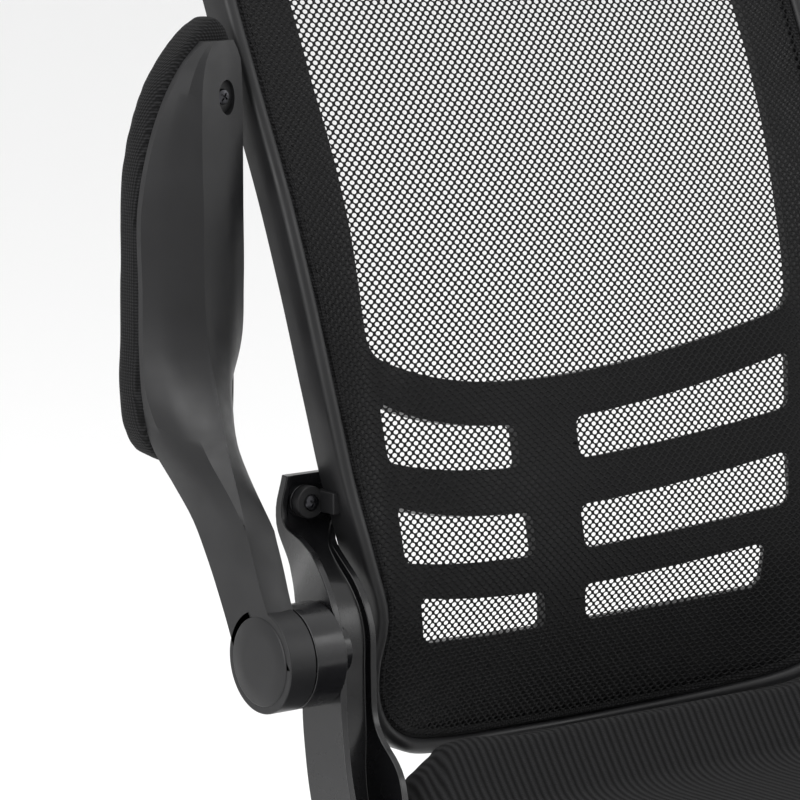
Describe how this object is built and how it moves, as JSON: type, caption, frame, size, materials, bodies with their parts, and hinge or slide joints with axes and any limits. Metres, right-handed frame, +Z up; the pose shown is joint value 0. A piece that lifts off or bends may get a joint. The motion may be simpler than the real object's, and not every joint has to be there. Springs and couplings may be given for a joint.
{
  "type": "swivel office chair",
  "caption": "Swivel office chair with a net back over an open lumbar grid, flip-up padded arms, gas lift, tilt and a five-star caster base.",
  "frame": {"origin": "centre of the bounding box on the floor, between the casters, with the chair in its plane of symmetry except for the height lever", "axes": "+Z up; the sitter faces -Y, so the back stands at +Y; +X is the sitter's left"},
  "size_m": [0.6788, 0.7532, 1.026],
  "materials": {
    "nylon": "satin moulded nylon",
    "gloss_black": "polished black",
    "seat_fabric": "ribbed woven cover",
    "arm_fabric": "woven cover",
    "net": "open knitted net",
    "steel": "zinc plated",
    "black_steel": "black powder coat",
    "chrome": "hard chrome",
    "tread": "polyurethane tyre"
  },
  "bodies": {
    "base": {"base_star": "nylon", "column_tube": "black_steel", "column_bush": "nylon", "sleeve_lower": "nylon"},
    "rod": {"piston_rod": "chrome", "thrust_bearing": "steel"},
    "carrier": {"spring_tube": "chrome", "sleeve_upper": "nylon", "mechanism_housing": "black_steel", "tilt_axle": "steel"},
    "mid_sleeve": {"sleeve_middle": "nylon"},
    "valve": {"valve_pin": "steel"},
    "lock": {"lock_slider": "steel"},
    "lever": {"height_lever": "nylon"},
    "knob": {"tension_knob": "nylon"},
    "seat": {"seat_plate": "black_steel", "seat_pan": "nylon", "seat_cushion": "seat_fabric", "back_frame": "nylon", "back_mesh": "net", "mesh_welt": "seat_fabric", "upright_right": "gloss_black", "upright_screw_right": "steel", "arm_pivot_bolt_right": "steel", "upright_left": "gloss_black", "upright_screw_left": "steel", "arm_pivot_bolt_left": "steel"},
    "arm_right": {"arm_shell_right": "nylon", "arm_pad_right": "arm_fabric", "arm_hub_cap_right": "nylon", "arm_pad_screw_right": "steel"},
    "arm_left": {"arm_shell_left": "nylon", "arm_pad_left": "arm_fabric", "arm_hub_cap_left": "nylon", "arm_pad_screw_left": "steel"},
    "caster_front": {"caster_body_front": "nylon", "caster_stem_front": "steel"},
    "wheels_front": {"caster_axle_front": "steel", "caster_wheel_a_front": "tread", "caster_wheel_b_front": "tread"},
    "caster_front_left": {"caster_body_front_left": "nylon", "caster_stem_front_left": "steel"},
    "wheels_front_left": {"caster_axle_front_left": "steel", "caster_wheel_a_front_left": "tread", "caster_wheel_b_front_left": "tread"},
    "caster_rear_left": {"caster_body_rear_left": "nylon", "caster_stem_rear_left": "steel"},
    "wheels_rear_left": {"caster_axle_rear_left": "steel", "caster_wheel_a_rear_left": "tread", "caster_wheel_b_rear_left": "tread"},
    "caster_rear_right": {"caster_body_rear_right": "nylon", "caster_stem_rear_right": "steel"},
    "wheels_rear_right": {"caster_axle_rear_right": "steel", "caster_wheel_a_rear_right": "tread", "caster_wheel_b_rear_right": "tread"},
    "caster_front_right": {"caster_body_front_right": "nylon", "caster_stem_front_right": "steel"},
    "wheels_front_right": {"caster_axle_front_right": "steel", "caster_wheel_a_front_right": "tread", "caster_wheel_b_front_right": "tread"}
  },
  "joints": [
    {"name": "chair_swivel", "type": "hinge", "parent": "base", "child": "rod", "pos_m": [0, -0.051, 0.066], "axis": [0, 0, 1], "continuous": true},
    {"name": "seat_lift", "type": "slide", "parent": "rod", "child": "carrier", "axis": [0, 0, 1], "range_m": [0, 0.1]},
    {"name": "sleeve_follow", "type": "slide", "parent": "rod", "child": "mid_sleeve", "axis": [0, 0, 1], "range_m": [0, 0.05]},
    {"name": "valve_press", "type": "slide", "parent": "carrier", "child": "valve", "axis": [0, 0, -1], "range_m": [0, 0.004]},
    {"name": "tilt_lock_pull", "type": "slide", "parent": "carrier", "child": "lock", "axis": [-1, 0, 0], "range_m": [0, 0.012]},
    {"name": "height_lever_lift", "type": "hinge", "parent": "lock", "child": "lever", "pos_m": [-0.052, -0.051, 0.3304], "axis": [0, 1, 0], "range_deg": [0, 4], "stiffness_Nm_per_rad": 0.6, "springref_deg": -8.59},
    {"name": "tension_knob_turn", "type": "hinge", "parent": "carrier", "child": "knob", "pos_m": [0, -0.126, 0.292], "axis": [0, 0, 1], "range_deg": [0, 720]},
    {"name": "seat_tilt", "type": "hinge", "parent": "carrier", "child": "seat", "pos_m": [0, -0.091, 0.336], "axis": [-1, 0, 0], "range_deg": [0, 14], "stiffness_Nm_per_rad": 120, "springref_deg": -20.05},
    {"name": "arm_flip_right", "type": "hinge", "parent": "seat", "child": "arm_right", "pos_m": [-0.25, 0.153, 0.541], "axis": [1, 0, 0], "range_deg": [0, 90]},
    {"name": "arm_flip_left", "type": "hinge", "parent": "seat", "child": "arm_left", "pos_m": [0.25, 0.153, 0.541], "axis": [1, 0, 0], "range_deg": [0, 90]},
    {"name": "caster_swivel_front", "type": "hinge", "parent": "base", "child": "caster_front", "pos_m": [0, -0.361, 0.066], "axis": [0, 0, 1], "continuous": true},
    {"name": "wheel_roll_front", "type": "hinge", "parent": "caster_front", "child": "wheels_front", "pos_m": [0, -0.341, 0.029], "axis": [-1, 0, 0], "continuous": true},
    {"name": "caster_swivel_front_left", "type": "hinge", "parent": "base", "child": "caster_front_left", "pos_m": [0.29483, -0.1468, 0.066], "axis": [0, 0, 1], "continuous": true},
    {"name": "wheel_roll_front_left", "type": "hinge", "parent": "caster_front_left", "child": "wheels_front_left", "pos_m": [0.30483, -0.12948, 0.029], "axis": [-0.866, 0.5, 0], "continuous": true},
    {"name": "caster_swivel_rear_left", "type": "hinge", "parent": "base", "child": "caster_rear_left", "pos_m": [0.18221, 0.1998, 0.066], "axis": [0, 0, 1], "continuous": true},
    {"name": "wheel_roll_rear_left", "type": "hinge", "parent": "caster_rear_left", "child": "wheels_rear_left", "pos_m": [0.16936, 0.21512, 0.029], "axis": [-0.766, -0.6428, 0], "continuous": true},
    {"name": "caster_swivel_rear_right", "type": "hinge", "parent": "base", "child": "caster_rear_right", "pos_m": [-0.18221, 0.1998, 0.066], "axis": [0, 0, 1], "continuous": true},
    {"name": "wheel_roll_rear_right", "type": "hinge", "parent": "caster_rear_right", "child": "wheels_rear_right", "pos_m": [-0.16936, 0.21512, 0.029], "axis": [-0.766, 0.6428, 0], "continuous": true},
    {"name": "caster_swivel_front_right", "type": "hinge", "parent": "base", "child": "caster_front_right", "pos_m": [-0.29483, -0.1468, 0.066], "axis": [0, 0, 1], "continuous": true},
    {"name": "wheel_roll_front_right", "type": "hinge", "parent": "caster_front_right", "child": "wheels_front_right", "pos_m": [-0.30483, -0.12948, 0.029], "axis": [-0.866, -0.5, 0], "continuous": true}
  ],
  "couplings": [
    {"joint": "sleeve_follow", "follows": "seat_lift", "ratio": 0.5},
    {"joint": "valve_press", "follows": "height_lever_lift", "m_per_rad": 0.052}
  ]
}
